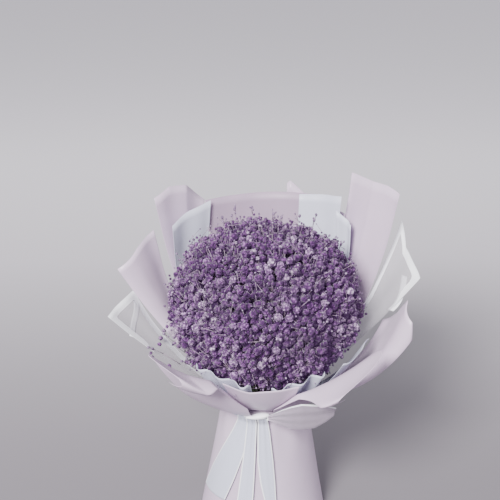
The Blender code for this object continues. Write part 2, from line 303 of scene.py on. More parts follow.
def flower_finish():
    """Dyed petals with small ruffles: painted shade lies between the petals and at their bases, each flower
    has a tint of its own, and a faint painted glow lifts the darkest gaps.
    """
    finish = Finish("dyed_petals")
    tint = finish.attribute("tint")
    painted_shade_colour = finish.ramp(tint, [(0.0, (0.02, 0.005, 0.03)), (0.6, (0.038, 0.011, 0.052)),
                              (1.0, (0.11, 0.055, 0.13))])
    light = finish.ramp(tint, [(0.0, (0.08, 0.02, 0.1)), (0.35, (0.185, 0.058, 0.225)),
                               (0.6, (0.31, 0.128, 0.37)), (0.85, (0.53, 0.32, 0.6)),
                               (1.0, (0.74, 0.6, 0.79))])
    faded = finish.ramp(tint, [(0.0, (0.082, 0.038, 0.093)), (0.6, (0.24, 0.14, 0.25)),
                               (1.0, (0.57, 0.46, 0.59))])
    petals = finish.blend(finish.step(finish.noise(22.0, 2.0), 0.46, 0.64), light, faded)
    # The ruffles' colour is painted light and shade, bright in their middles and dark at their edges; they
    # also bump the petals.
    ruffles = finish.texture("ShaderNodeTexVoronoi", finish.object_place(), "Distance", Scale=340.0)
    frill = finish.math("SUBTRACT", 1.65, finish.math("MULTIPLY", ruffles, 2.4))
    # Painted shade towards each petal's base and the ruffles' edges, the petal colour towards the tips.
    shade = finish.math("MULTIPLY", finish.attribute("petal"), frill)
    finish.colour(finish.blend(finish.clamp(shade), painted_shade_colour, petals))
    finish.bump(frill, 0.6, 0.0006)
    # The faint violet emission is a painted glow that lifts the shade between the flowers.
    finish.set(Roughness=0.8, Emission_Color=(0.028, 0.009, 0.043), Emission_Strength=1.0,
               Specular_IOR_Level=0.2, Sheen_Weight=0.2)
    return finish.material


def twig_finish():
    """Dried twigs: silvery mauve, browner in places."""
    finish = Finish("dried_twigs")
    patch = finish.noise(45.0, 2.0)
    streak = finish.noise(700.0, 2.0)
    tone = finish.ramp(patch, [(0.3, (0.15, 0.1, 0.145)), (0.55, (0.3, 0.225, 0.3)),
                               (0.75, (0.43, 0.35, 0.44))])
    finish.colour(finish.blend(finish.math("MULTIPLY", streak, 0.35), tone, (0.16, 0.11, 0.15)))
    finish.bump(streak, 0.3, 0.0003)
    finish.set(Roughness=0.75)
    return finish.material


def grain_finish(name, scale, detail, stops, strength, roughness):
    """A surface that one grain of noise both colours and roughens."""
    finish = Finish(name)
    grain = finish.noise(scale, detail)
    finish.colour(finish.ramp(grain, stops))
    finish.bump(grain, strength, 0.0004)
    finish.set(Roughness=roughness)
    return finish.material


def stem_finish():
    """Cut stems: grey green with lengthwise streaks."""
    finish = Finish("stems")
    lengthwise = finish.texture("ShaderNodeMapping", finish.object_place(), "Vector",
                                Scale=(420.0, 420.0, 24.0))
    streaks = finish.texture("ShaderNodeTexNoise", lengthwise, Scale=1.0, Detail=3.0)
    finish.colour(finish.ramp(streaks, [(0.3, (0.11, 0.15, 0.075)), (0.7, (0.24, 0.29, 0.16))]))
    finish.bump(streaks, 0.4, 0.0003)
    finish.set(Roughness=0.6)
    return finish.material


# Sheets of wrapping

# Steps across and up a sheet, up its rolled top and round its cross-section
SHEET_COLUMNS = 56
SHEET_ROWS = 34
ROLL_ROWS = 16
NECK_ROWS = 3
SECTION_STEPS = 192
SECTION_LEVELS = 90
FOLD_SPREAD = 0.9


def layer(number):
    """Foot and neck of a sheet in the numbered layer of the gathered waist, from the inside out."""
    radius = 41.5 + 1.5 * number
    return (radius, 142.0), (radius + 1.0, WAIST_HEIGHT + 5.0 - 0.9 * number)


def rise_point(rise, share):
    """Radius and height along a sheet: its tucked foot, its neck, a bend and its rim."""
    number, *upper = rise
    foot, neck, bend, rim = (np.array(point, float) for point in (*layer(number), *upper))
    if share < NECK_SHARE:
        return mix(foot, neck, share / NECK_SHARE)
    t = (share - NECK_SHARE) / (1.0 - NECK_SHARE)
    inside = min(t, 1.0)
    curve = (1 - inside) ** 2 * neck + 2 * inside * (1 - inside) * bend + inside ** 2 * rim
    return curve + (t - inside) * 2.0 * (rim - bend)


def section_bend(sheet, across, width, radius, share, open_share):
    """How sharply the cross-section bends at each point: its bow, its curled edges and its folds."""
    bow = 1.0 / (radius * mix(1.0, sheet.get("flatness", 1.1), min(share, 1.0)))
    bend = np.full(len(across), bow)
    growth = 0.12 + 0.88 * open_share
    for side, length, roll, way in sheet.get("curls", []):
        strip = length * growth
        tightness = way / (roll * growth)
        blend = smooth_step((side * across - (width / 2 - strip)) / (0.35 * strip))
        blend = blend * smooth_step((share - NECK_SHARE) / 0.3)
        bend = mix(bend, tightness, blend)
    for place, angle in sheet.get("folds", []):
        distance = (across - place * width / 2) / FOLD_SPREAD
        fold = math.radians(angle) * np.exp(-0.5 * distance ** 2) / (FOLD_SPREAD * math.sqrt(TAU))
        bend = bend + fold * smooth_step((share - NECK_SHARE) / 0.2)
    return bend


def running_total(steps, axis=0):
    """Totals of the steps so far along an axis, from 0 on."""
    return np.insert(np.cumsum(steps, axis=axis), 0, 0.0, axis=axis)


def read_line(at, places, points):
    """Point at a place along a line, whose points have rising places of their own."""
    return np.array([np.interp(at, places, values) for values in np.transpose(points)])


def section(sheet, share):
    """Cross-section of a sheet at a share of its rise: points from its left to its right edge."""
    open_share = min(share, 1.3)
    width = mix(*sheet["width"], open_share ** sheet.get("flare", 1.0))
    radius, height = rise_point(sheet["rise"], share)
    across = np.linspace(-width / 2, width / 2, SECTION_STEPS + 1)
    bend = section_bend(sheet, across, width, radius, share, open_share)

    def summed(values):
        """Running total along the section, 0 at its middle."""
        total = running_total(values * (across[1] - across[0]))
        return total - total[SECTION_STEPS // 2]

    heading = summed((bend[1:] + bend[:-1]) / 2)
    middle = (heading[1:] + heading[:-1]) / 2
    run, depth = summed(np.cos(middle)), summed(np.sin(middle))
    place = mix(*sheet["facing"], open_share)
    facing = place + sheet.get("turn", 0.0) * smooth_step(share)
    points = outward(place) * radius + np.outer(run, sideways(facing)) - np.outer(depth, outward(facing))
    points[:, 2] = height
    return points


def roll_top(strand, radius, turn, facing, slant):
    """Carry a strand of a sheet on from its top in an arc that rolls towards an azimuth and down."""
    along = unit(strand[-1] - strand[-2])
    level = outward(facing)
    away = unit(level - along * np.dot(level, along))
    arc = []
    for step in range(ROLL_ROWS):
        angle = math.radians(turn) * (step + 1) / ROLL_ROWS
        round_point = radius * (math.sin(angle) * along + (1.0 - math.cos(angle)) * away)
        shift = slant * ((1.0 - math.cos(angle)) / 2.0) ** 2
        arc.append(strand[-1] + round_point + sideways(facing) * shift)
    return np.array(list(strand) + arc)


def sheet_grid(sheet):
    """Points of a sheet, row by row from its foot to its top outline, and on round its rolled top."""
    even = np.linspace(-1.0, 1.0, SHEET_COLUMNS + 1)
    across = 0.45 * even + 0.55 * np.sin(even * math.pi / 2)
    outline = np.array(sheet["top"], float)
    top = np.interp(across, outline[:, 0], outline[:, 1])
    levels = np.linspace(0.0, top.max(), SECTION_LEVELS)
    sections = np.array([section(sheet, level) for level in levels])
    places = np.linspace(-1.0, 1.0, sections.shape[1])
    roll = sheet.get("roll")
    rows = SHEET_ROWS + (ROLL_ROWS if roll else 0)
    grid = np.zeros((rows + 1, SHEET_COLUMNS + 1, 3))
    for column in range(SHEET_COLUMNS + 1):
        strand = [read_line(across[column], places, line) for line in sections]
        shares = np.concatenate([np.linspace(0.0, NECK_SHARE, NECK_ROWS + 1)[:-1],
                                 np.linspace(NECK_SHARE, top[column], SHEET_ROWS - NECK_ROWS + 1)])
        points = np.array([read_line(share, levels, strand) for share in shares])
        if roll:
            reach = (across[column] + 1.0) / 2.0
            points = roll_top(points, mix(*roll["radius"], reach), mix(*roll["turn"], reach),
                              roll["facing"], mix(*roll["slant"], reach))
        grid[:, column] = points
    return grid


def grid_normals(grid):
    """Direction at right angles to the sheet at each of its points."""
    along = np.gradient(grid, axis=0)
    across = np.gradient(grid, axis=1)
    normal = np.cross(across, along)
    return normal / np.maximum(np.linalg.norm(normal, axis=2, keepdims=True), 1e-9)


def crumple(grid, sheet, phase):
    """Life in the paper: broad waves towards the rim, gathers at the neck and light creasing."""
    rows, columns = grid.shape[:2]
    up = np.linspace(0.0, 1.0, rows)[:, None]
    over = np.linspace(0.0, 1.0, columns)[None, :]
    swing = np.sin(TAU * (1.3 * over + 0.35 * up) + phase)
    swing = swing + 0.5 * np.sin(TAU * (2.3 * over - 0.2 * up) + 2.1 * phase)
    lift = sheet.get("wave", 1.0) * swing * smooth_step((up - 0.3) / 0.7)
    pleats, depth = sheet.get("pleats", (0, 0.0))
    if pleats:
        lift = lift + depth * np.sin(TAU * pleats * over + phase) * smooth_step((up - 0.25) / 0.5)
    gather = 0.45 * np.cos(TAU * 4.0 * over + phase) * np.exp(-((up - 0.16) / 0.1) ** 2)
    places = (Vector(point) * 0.035 + Vector((phase, 0.0, 0.0)) for point in grid.reshape(-1, 3))
    crease = np.array([noise.noise(place) for place in places]).reshape(rows, columns)
    lift = lift + gather + 0.9 * crease * smooth_step(up / 0.4)
    return grid + grid_normals(grid) * lift[:, :, None]


def edge_distances(grid, left_reach, right_reach):
    """Distances along a sheet: from its border, from its left edge and up from its foot.

    The border follows the top edge, and each side edge as far down as its reach.
    """
    up, left = (running_total(np.linalg.norm(np.diff(grid, axis=axis), axis=2), axis) for axis in (0, 1))
    down = up[-1:, :] - up
    left_side = left + 0.5 * np.maximum(down - left_reach, 0.0)
    right_side = left[:, -1:] - left + 0.5 * np.maximum(down - right_reach, 0.0)
    return np.minimum(np.minimum(left_side, right_side), down), left, up


def grid_mesh(name, grid, look, thickness, *nodes, closed=False, bordered=(math.inf, math.inf)):
    """A sheet over a grid of points, joined where its edges meet if it is closed."""
    material, slot = look
    rows, columns = grid.shape[0] - 1, grid.shape[1] - 1
    near, left, up = edge_distances(grid, *bordered)
    cloth = bmesh.new()
    bmesh.ops.create_grid(cloth, x_segments=columns, y_segments=rows, size=1.0)
    flat = cloth.loops.layers.uv.new("cloth")
    distance = cloth.verts.layers.float.new("edge_distance")
    for corner in cloth.verts:
        column = round((corner.co.x + 1.0) / 2.0 * columns)
        row = round((corner.co.y + 1.0) / 2.0 * rows)
        corner.co = grid[row, column] * MM
        corner[distance] = near[row, column]
        corner.index = row * (columns + 1) + column
    for face in cloth.faces:
        for loop in face.loops:
            row, column = divmod(loop.vert.index, columns + 1)
            loop[flat].uv = (left[row, column], up[row, column])
    if closed:
        bmesh.ops.remove_doubles(cloth, verts=cloth.verts, dist=0.001 * MM)
    piece = make_object(name, cloth, material)
    shell = piece.modifiers.new("paper_thickness", "SOLIDIFY")
    shell.thickness = thickness * MM
    shell.offset = 0.0
    claim(piece, slot, nodes)
    return piece


def add_sheet(name, look, phase, bordered=(math.inf, math.inf), **sheet):
    """One sheet of the wrap; pairs run from its foot to its rim.

    facing is the azimuth of its middle line, and turn its twist away from that. rise is its layer at
    the waist and the radius and height of its bend and rim, and top its outline as shares of the
    rise. It opens by the power flare, and flatness opens its bow. A curl is a side and its length,
    radius and way, and a fold a place from -1 to 1 and an angle. A roll gives both ends of a rolled top.
    """
    grid = crumple(sheet_grid(sheet), sheet, phase)
    grid_mesh(name + "_sheet", grid, look, SHEET_THICKNESS, name, bordered=bordered)
    return grid


def make_liners(look):
    add_sheet("liner_upper_left", look, 0.4, facing=(235, 226),
              rise=(0, (128, 212), (131, 365)), width=(18, 65), flare=0.88,
              top=[(-1, 1.06), (0, 1.04), (1, 1.01)])
    add_sheet("liner_upper_right", look, 1.3, facing=(153, 146),
              rise=(0, (126, 212), (131, 380)), width=(18, 60), flare=0.8, top=[(-1, 1.05), (1, 1.03)])
    add_sheet("liner_right", look, 2.2, facing=(121, 129), rise=(0, (127, 212), (131, 354)),
              width=(14, 27), top=[(-1, 1.04), (1, 1.08)])
    add_sheet("liner_lower_right", look, 3.1, facing=(62, 60),
              rise=(0, (92, 202), (126, 264)), width=(18, 66), top=[(-1, 0.97), (1, 1.0)])
    add_sheet("liner_front_right", look, 4.0, facing=(24, 22),
              rise=(0, (68, 184), (101, 240)), width=(20, 64), top=[(-1, 0.95), (1, 1.05)],
              pleats=(3, 2.8))
    add_sheet("liner_front_left", look, 4.9, facing=(332, 330),
              rise=(0, (68, 184), (101, 242)), width=(20, 70), top=[(-1, 1.05), (1, 0.98)],
              pleats=(3, 2.8))


def add_wing_fold(name, grid, start, end, bow, look):
    """Bordered hem of a wing's folded corner: a bowed strip across the film, just in front of it.

    It starts and ends at shares of the height and the width of the wing's grid.
    """
    steps, breadth, half_width, clearance = 24, 4, 4.2, 1.2
    start, end, counts = np.array(start), np.array(end), np.array(grid.shape[:2]) - 1
    normals = grid_normals(grid)
    line = []
    for step in range(steps + 1):
        place = mix(start, end, step / steps) * counts
        row, column = np.minimum(place.astype(int), counts - 1)
        left, right = (mix(grid[row, side], grid[row + 1, side], place[0] - row)
                       for side in (column, column + 1))
        line.append(mix(left, right, place[1] - column) + clearance * normals[row, column])
    row, column = np.round(mix(start, end, 0.5) * counts).astype(int)
    aside = np.cross(normals[row, column], unit(line[-1] - line[0]))
    arches = [bow * math.sin(math.pi * step / steps) for step in range(steps + 1)]
    offsets = [half_width * (2.0 * place / breadth - 1.0) for place in range(breadth + 1)]
    strip = [[point + aside * (arch + offset) for offset in offsets] for point, arch in zip(line, arches)]
    grid_mesh(name, np.array(strip), look, SHEET_THICKNESS)


def make_wings(look):
    right = add_sheet("wing_right", look, 5.8, facing=(98, 101), turn=24,
                      rise=(1, (120, 228), (195, 362)), width=(10, 77), flatness=2.1, flare=2.05,
                      top=[(-1, 0.87), (0.45, 0.95), (1, 1.04)], bordered=(30.0, 300.0))
    left = add_sheet("wing_left", look, 0.4, facing=(272, 268), turn=-22,
                     rise=(4, (122, 220), (173, 288)), width=(15, 66), flatness=2.0, flare=1.76,
                     top=[(-1, 1.04), (1, 1.0)], bordered=(300.0, 55.0))
    add_wing_fold("wing_left_fold", left, (0.97, 0.06), (0.8, 0.97), -7.0, look)
    add_wing_fold("wing_right_fold", right, (0.8, 0.03), (0.93, 0.4), 3.0, look)


def make_papers(material):
    look = (material, "lavender_paper")
    # A darker copy of the lavender paper: painted shade for the back sheet, which lies in shade.
    shade_painted_paper = paper_finish("lavender_paper_painted_shade", (0.385, 0.285, 0.395), (0.345, 0.255, 0.355), 0.5)
    add_sheet("paper_back", (shade_painted_paper, "lavender_paper"), 1.3, facing=(180, 178),
              rise=(1, (131, 212), (138, 389)), width=(34, 172), flatness=1.05,
              top=[(-1, 1.01), (0, 1.0), (1, 0.99)])
    add_sheet("paper_front", look, 2.2, facing=(359, 357),
              rise=(1, (74, 182), (107, 238)), width=(22, 86),
              top=[(-1, 1.03), (-0.3, 0.97), (1, 1.02)], wave=0.5)
    add_sheet("paper_upper_left", look, 3.1, facing=(229, 224),
              rise=(2, (134, 215), (152, 386)), width=(18, 87), flare=2.06, folds=[(-0.2, -18.0)],
              top=[(-1, 0.98), (-0.2, 1.05), (0.4, 1.06), (1, 1.04)])
    add_sheet("paper_upper_right", look, 4.0, facing=(130, 119), turn=4,
              rise=(2, (134, 212), (152, 410)), width=(18, 89), flare=0.7, folds=[(0.0, -20.0)],
              top=[(-1, 1.02), (-0.5, 1.03), (1, 1.03)])
    add_sheet("paper_right", look, 4.9, facing=(76, 81),
              rise=(3, (124, 196), (156, 280)), width=(18, 98),
              top=[(-1, 0.98), (-0.75, 1.1), (-0.2, 1.18), (0.2, 1.04), (1, 0.9)], curls=[(-1, 40, 18, -1)])
    add_sheet("paper_left", look, 5.8, facing=(255, 258), turn=-11,
              rise=(3, (117, 234), (157, 346)), width=(13, 79), flare=1.79,
              top=[(-1, 1.06), (0, 1.02), (1, 0.95)], curls=[(1, 40, 26, -1)])
    add_sheet("paper_back_outer", look, 0.4, facing=(159, 151),
              rise=(3, (138, 214), (152, 398)), width=(20, 90),
              top=[(-1, 0.93), (0.4, 0.965), (0.9, 1.01), (1, 1.0)])
    add_sheet("paper_front_right", look, 1.3, facing=(36, 32), turn=-11,
              rise=(4, (87, 187), (133, 268)), width=(26, 114), flare=0.81,
              top=[(-1, 0.45), (-0.5, 0.74), (0.3, 0.89), (1, 1.02)],
              roll={"radius": (1.5, 23.1), "turn": (52, 229), "facing": 22, "slant": (8, -58)}, wave=0.4)
    add_sheet("paper_front_left", look, 2.2, facing=(328, 325), turn=33,
              rise=(6, (99, 181), (133, 276)), width=(34, 99), flare=1.27,
              top=[(-1, 0.99), (-0.3, 0.88), (0.2, 0.84), (1, 0.5)],
              roll={"radius": (16.8, 2.9), "turn": (265, 41), "facing": -6, "slant": (34, -1)}, wave=0.4)


# The sleeve


def make_sleeve(look):
    """Flared paper sleeve: one sheet wrapped round, with soft gathers under the ribbon."""
    lap = 24.0

    def place(up, over):
        height = SLEEVE_TOP * up
        azimuth = 150.0 + (360.0 + lap) * over
        gather = smooth_step((height - 80.0) / 80.0) * 0.7 * math.sin(math.radians(azimuth) * 11.0)
        shoulder = 6.5 * smooth_step((height - WAIST_HEIGHT + 5.0) / 12.0)
        sway = 0.8 * math.sin(math.radians(azimuth) * 3.0 + 0.02 * height)
        overlap = mix(-0.9, 0.5, over)
        radius = sleeve_radius(height) - 1.2 + gather + sway + overlap - shoulder
        return outward(azimuth) * radius + upward(height)

    grid_mesh("sleeve_paper", grid_of(40, 120, place), look, 0.4, "paper_sleeve")


# The ribbon

CLOTH_THICKNESS = 0.2
BAND_RADIUS = sleeve_radius(BAND_LOW) + 0.7


def strip_grid(path, stand_off, ripple):
    """Points of a ribbon tail on the sleeve, from its cut end up to the knot, where it is gathered."""
    def place(up, over):
        left, right, height_left, height_right = read_line(1.0 - up, np.linspace(0, 1, len(path)), path)
        height = mix(height_left, height_right, over)
        fold = ripple * (0.25 + up ** 2) * math.sin(TAU * (2.5 * over + 0.2 * (1.0 - up)))
        lift = 5.0 * smooth_step((height - BAND_LOW + 4.0) / 12.0)
        reach = max(sleeve_radius(height), BAND_RADIUS) + stand_off + fold + lift
        return outward(mix(left, right, over)) * reach + upward(height)

    return grid_of(60, 36, place)


def add_tail(name, look, path, stand_off, ripple):
    """A tail along a path: azimuths and heights of its left and right edge, from the knot down."""
    piece = grid_mesh(name + "_cloth", strip_grid(path, stand_off, ripple), look, CLOTH_THICKNESS, name)


def make_tails(look):
    add_tail("ribbon_tail_left", look,
             [(-31, -13, 173, 173), (-42, -18, 143, 145), (-55, -24, 113, 115), (-68, -32, 80, 82),
              (-80, -41, 42, 48)], 1.7, 0.35)
    add_tail("ribbon_tail_middle", look,
             [(-21, -9, 173, 173), (-23, -9.5, 126, 126), (-25, -10, 85, 85), (-27, -11, 45, 45),
              (-28, -11, 10, 14)], 3.5, 0.4)
    add_tail("ribbon_tail_right", look,
             [(-8, 3, 173, 173), (-8, 6.5, 150, 150), (-7.5, 9.5, 115, 115), (-4, 11, 85, 85),
              (0.5, 11.5, 60, 60), (1, 12, 12, 8)], 3.5, 0.35)


def loop_grid(lower, upper, open_depth):
    """A flattened loop of ribbon: out along its front and back along its rear, pinched at the knot."""
    def place(up, over):
        turn = TAU * over
        reach = 0.5 - 0.5 * math.cos(turn)
        billow = open_depth * math.sin(turn) * math.sqrt(reach) * (0.6 + math.sin(math.pi * up))
        fold = 0.8 * math.sin(TAU * 3.0 * up) * (1.0 - reach) + 0.6 * math.sin(TAU * 1.5 * up) * reach
        low, high = (read_line(reach, np.linspace(0, 1, len(edge)), edge) for edge in (lower, upper))
        return mix(low, high, up) - np.array([0.0, 3.0 + billow + fold, 0.0])

    return grid_of(20, 72, place)


def make_bow(look):
    lower = [(3, -68, 176), (18, -73, 172), (31, -76, 169), (43, -77, 169), (58, -79, 173), (70, -83, 184),
             (78, -87, 194)]
    upper = [(3, -68, 181), (19, -90, 204), (29, -99, 214), (40, -105, 221), (54, -103, 219), (67, -98, 215),
             (80, -93, 209)]
    piece = grid_mesh("ribbon_loop_cloth", loop_grid(lower, upper, 1.8), look, CLOTH_THICKNESS,
                      "ribbon_loop", closed=True)


def make_knot(look):
    """Small flat knot: a pinched wrap of ribbon that tapers to the left, with lengthwise folds."""
    knot = bmesh.new()
    bmesh.ops.create_uvsphere(knot, u_segments=48, v_segments=24, radius=1.0)
    for corner in knot.verts:
        fold = 1.0 + 0.08 * math.sin(9.0 * corner.co.z)
        half_height = 2.8 + 1.6 * corner.co.x
        corner.co = Vector((-8.5 + 14.0 * corner.co.x, -65.0 + 4.5 * corner.co.y * fold,
                            177.0 + 1.5 * corner.co.x + half_height * corner.co.z)) * MM
    add_solid("ribbon_knot_wrap", knot, look, "ribbon_knot")


def make_band(look):
    """Ribbon gathered round the waist: a ring with level folds."""
    def place(up, over):
        azimuth = 180.0 + 360.0 * over
        fold = 0.75 * math.sin(TAU * 2.5 * up + 0.6 * math.sin(math.radians(azimuth) * 3.0))
        return outward(azimuth) * (BAND_RADIUS + fold) + upward(mix(BAND_LOW, BAND_HIGH, up))

    piece = grid_mesh("ribbon_band_cloth", grid_of(30, 120, place), look, 0.3, "ribbon_band", closed=True)


# The binding tie


def make_tie(material):
    """String wound four times round the stems."""
    turns, string, radius, breadth, steps = 4.0, 1.1, 11.9, 6.6, 120
    curve = bpy.data.curves.new("tie_path", "CURVE")
    curve.dimensions = "3D"
    curve.bevel_depth = string * MM
    curve.bevel_resolution = 3
    curve.use_fill_caps = True
    curve.materials.append(material)
    spline = curve.splines.new("POLY")
    spline.points.add(steps)
    for step, point in enumerate(spline.points):
        share = step / steps
        angle = TAU * turns * share
        height = TIE_HEIGHT + breadth * (share - 0.5)
        point.co = (*Vector((radius * math.cos(angle), radius * math.sin(angle), height)) * MM, 1.0)
    claim(new_object("tie_string_wrap", curve), "tie_string", ["binding_tie"])


# Flowers


def dome_place(polar, azimuth, depth):
    """Point of the flower dome at a share of its depth, 1 on its surface."""
    tilt = math.radians(polar)
    point = outward(azimuth) * DOME_RADIUS * math.sin(tilt) * depth
    point[2] = DOME_CENTRE + DOME_HALF_HEIGHT * math.cos(tilt) * depth
    return point


def dome_normal(point):
    reaches = np.array([DOME_RADIUS, DOME_RADIUS, DOME_HALF_HEIGHT])
    return unit((point - upward(DOME_CENTRE)) / reaches ** 2)


def start_petals():
    """An empty bmesh with the two values that the petals' material reads: how far out on a petal a corner
    lies, which sets its painted light and shade, and the flower's tint.
    """
    petals = bmesh.new()
    petals.verts.layers.float.new("petal")
    petals.verts.layers.float.new("tint")
    return petals


def start_ball(subdivisions, radius):
    """A ball of triangles that becomes a flower, and the value that its petal tips carry, which keeps
    painted shade off the tips.
    """
    ball = start_petals()
    bmesh.ops.create_icosphere(ball, subdivisions=subdivisions, radius=radius)
    return ball, ball.verts.layers.float["petal"]


def open_flower(draw):
    """A double flower, 2 across: every face of a small ball is drawn out into a ruffled petal."""
    ball, tip = start_ball(1, 0.56)
    petals = bmesh.ops.extrude_discrete_faces(ball, faces=ball.faces)["faces"]
    for petal in petals:
        middle = petal.calc_center_median()
        direction = middle.normalized()
        lift = draw.uniform(0.22, 0.42)
        growth = draw.uniform(1.0, 1.35)
        lean = Matrix.Rotation(math.radians(draw.uniform(-38, 38)), 3, direction.orthogonal())
        spin = Matrix.Rotation(math.radians(draw.uniform(-30, 30)), 3, direction)
        for corner in petal.verts:
            arm = lean @ spin @ ((corner.co - middle) * growth * draw.uniform(0.8, 1.15))
            corner.co = middle + direction * lift + arm
            corner[tip] = draw.uniform(0.6, 1.0)
    return new_mesh("flower", ball)


def budding_flower(draw):
    """A half-open flower, 2 across: the middle of every face of a ball stands up as a petal tip."""
    ball, tip = start_ball(1, 0.62)
    tips = bmesh.ops.poke(ball, faces=ball.faces)["verts"]
    for corner in tips:
        corner.co = corner.co.normalized() * draw.uniform(0.78, 1.08)
        corner[tip] = draw.uniform(0.65, 1.0)
    return new_mesh("flower", ball)


def pompon_flower(draw):
    """A full round flower, 2 across: a 42-cornered ball whose corners stand up as petal tips."""
    ball, tip = start_ball(2, 1.0)
    for corner in ball.verts:
        is_tip = draw.random() < 0.55
        corner.co = corner.co * (draw.uniform(0.98, 1.12) if is_tip else draw.uniform(0.74, 0.84))
        corner[tip] = draw.uniform(0.8, 1.0) if is_tip else 0.25
    return new_mesh("flower", ball)


def aimed(centre, direction):
    """Move to a place, with Z turned to a direction."""
    return Matrix.Translation(centre) @ Vector(direction).to_track_quat("Z", "Y").to_matrix().to_4x4()


def place_copy(target, prototype, centre, direction, size, spin, tint):
    """Add a turned and sized copy of a prototype mesh to a bmesh under construction."""
    where = aimed(Vector(centre) * MM, direction) @ Matrix.Rotation(spin, 4, "Z")
    copy = prototype.copy()
    copy.transform(where @ Matrix.Diagonal((size * MM, size * MM, size * MM, 1.0)))
    copy.attributes["tint"].data.foreach_set("value", [tint] * len(copy.vertices))
    target.from_mesh(copy)
    bpy.data.meshes.remove(copy)


def add_twig(target, start, end, start_radius, end_radius, sides=3):
    """A straight stretch of twig, tapered, closed at both ends."""
    start, end = Vector(start) * MM, Vector(end) * MM
    run = end - start
    bmesh.ops.create_cone(target, cap_ends=True, segments=sides, radius1=start_radius * MM,
                          radius2=end_radius * MM, depth=run.length, matrix=aimed((start + end) / 2, run))


def add_bud(target, centre, direction, size):
    stretch = Matrix.Diagonal((size * MM, size * MM, 1.35 * size * MM, 1.0))
    bmesh.ops.create_icosphere(target, subdivisions=1, radius=1.0,
                               matrix=aimed(Vector(centre) * MM, direction) @ stretch)


class Crowd:
    """The flowers placed so far, kept in boxes so that neighbours are found quickly."""

    BOX = 12.0

    def __init__(self):
        self.boxes = {}

    def key(self, place):
        return tuple(int(part // self.BOX) for part in place)

    def fits(self, place, size, closeness):
        for box in itertools.product(*((part - 1, part, part + 1) for part in self.key(place))):
            for other, other_size in self.boxes.get(box, ()):
                gap = place - other
                if np.dot(gap, gap) < (closeness * (size + other_size)) ** 2:
                    return False
        return True

    def add(self, place, size):
        self.boxes.setdefault(self.key(place), []).append((place, size))


# Layers of flowers, from the outside in: share of the dome's depth, sizes, tries for each
# square centimetre of dome, how close they may come, kind of flower, and how pale they are painted:
# painted light lifts the outer layers and painted shade darkens the deeper ones
FLOWER_LAYERS = (
    ((0.915, 0.965), (4.4, 6.4), 0.95, 0.92, "open", 0.16),
    ((0.905, 0.955), (3.6, 5.4), 0.75, 0.9, "pompon", 0.1),
    ((0.92, 0.985), (2.2, 3.4), 1.6, 0.9, "open", 0.1),
    ((0.99, 1.02), (1.4, 2.2), 0.25, 0.9, "open", 0.0),
    ((0.875, 0.93), (3.4, 5.2), 4.5, 0.56, "open", -0.2),
    ((0.84, 0.885), (5.4, 7.0), 4.0, 0.5, "budding", -0.34),
)
PALE_SHARE = 0.05
LOWEST_POLAR = 142.0
LOWEST_FLOWER = 214.0
HUB_REACH = 26.0
SIDE_BUD_SHARE = 0.2
CROSSING_TWIG_SHARE = 0.04
CLEAR_RADIUS = 119.0
CLEAR_HEIGHT = 270.0
CLEAR_SLOPE = 0.3


def dome_swell(place):
    """Uneven depth of the flower dome: clusters stand out and hollows lie between them."""
    broad = noise.noise(Vector(place) * 0.03)
    fine = noise.noise(Vector(place) * 0.075 + Vector((7.0, 3.0, 1.0)))
    return 0.075 * broad + 0.045 * fine - 0.005


def scatter_flowers(draw, polar_range, azimuth_range, crowd):
    """Flowers over one spray's share of the dome: place, size, tint and kind."""
    low, high = (math.cos(math.radians(angle)) for angle in reversed(polar_range))
    area = (math.radians(azimuth_range[1] - azimuth_range[0]) * (high - low)
            * DOME_RADIUS * DOME_HALF_HEIGHT / 100.0)
    flowers = []
    for depth, sizes, tries, closeness, kind, tone in FLOWER_LAYERS:
        for attempt in range(round(area * tries)):
            polar = math.degrees(math.acos(draw.uniform(low, high)))
            azimuth = draw.uniform(*azimuth_range)
            size = draw.uniform(*sizes)
            surface = dome_place(polar, azimuth, 1.0)
            place = dome_place(polar, azimuth, draw.uniform(*depth) + dome_swell(surface))
            if place[2] < LOWEST_FLOWER or not crowd.fits(place, size, closeness):
                continue
            crowd.add(place, size)
            # The layer's tone paints light on the outer flowers and shade on the deeper ones; the noise and
            # the draw vary the tint at random.
            tint = 0.4 + tone + 0.6 * noise.noise(Vector(surface) * 0.035) + draw.gauss(0.0, 0.13)
            if tone > 0.0 and draw.random() < PALE_SHARE:
                tint = draw.uniform(0.85, 1.0)
            flowers.append((place, size, min(1.0, max(0.0, tint)), kind))
    return flowers


def inside_papers(place):
    """Whether a bud at this place keeps clear of the papers, which close in towards the waist."""
    narrowing = CLEAR_SLOPE * max(0.0, CLEAR_HEIGHT - place[2])
    return math.hypot(place[0], place[1]) < CLEAR_RADIUS - narrowing


def jitter(draw, reach):
    """A random shift of up to a reach along each axis."""
    return np.array([draw.uniform(-reach, reach) for axis in range(3)])


def drift(draw, spread):
    """A random shift with a normal spread along each axis."""
    return np.array([draw.gauss(0.0, spread) for axis in range(3)])


class SprayParts:
    """Flowers, twigs and buds of one spray under construction."""

    def __init__(self):
        self.flowers = start_petals()
        self.twigs = bmesh.new()
        self.buds = bmesh.new()

    def add_budded_twig(self, start, end, start_radius, end_radius, direction, size):
        add_twig(self.twigs, start, end, start_radius, end_radius)
        add_bud(self.buds, end, direction, size)

    def finish(self, name, materials):
        for part, mesh_data in vars(self).items():
            add_solid(f"{name}_{part}", mesh_data, (materials[part], "dyed_flowers"))


def find_hub(parts, hubs, place, apex, fork, draw):
    """The branching point that a flower's twig grows from: one nearby, or else a new one."""
    near = [hub for hub in hubs if np.linalg.norm(hub - place) < HUB_REACH]
    if near:
        return min(near, key=lambda point: np.linalg.norm(point - place))
    hub = mix(place, apex, 0.13) + jitter(draw, 2.0)
    hubs.append(hub)
    elbow = mix(fork, hub, 0.5) + upward(-3.0) + jitter(draw, 3.0)
    add_twig(parts.twigs, fork, elbow, 0.8, 0.6, 5)
    add_twig(parts.twigs, elbow, hub, 0.6, 0.45, 4)
    return hub


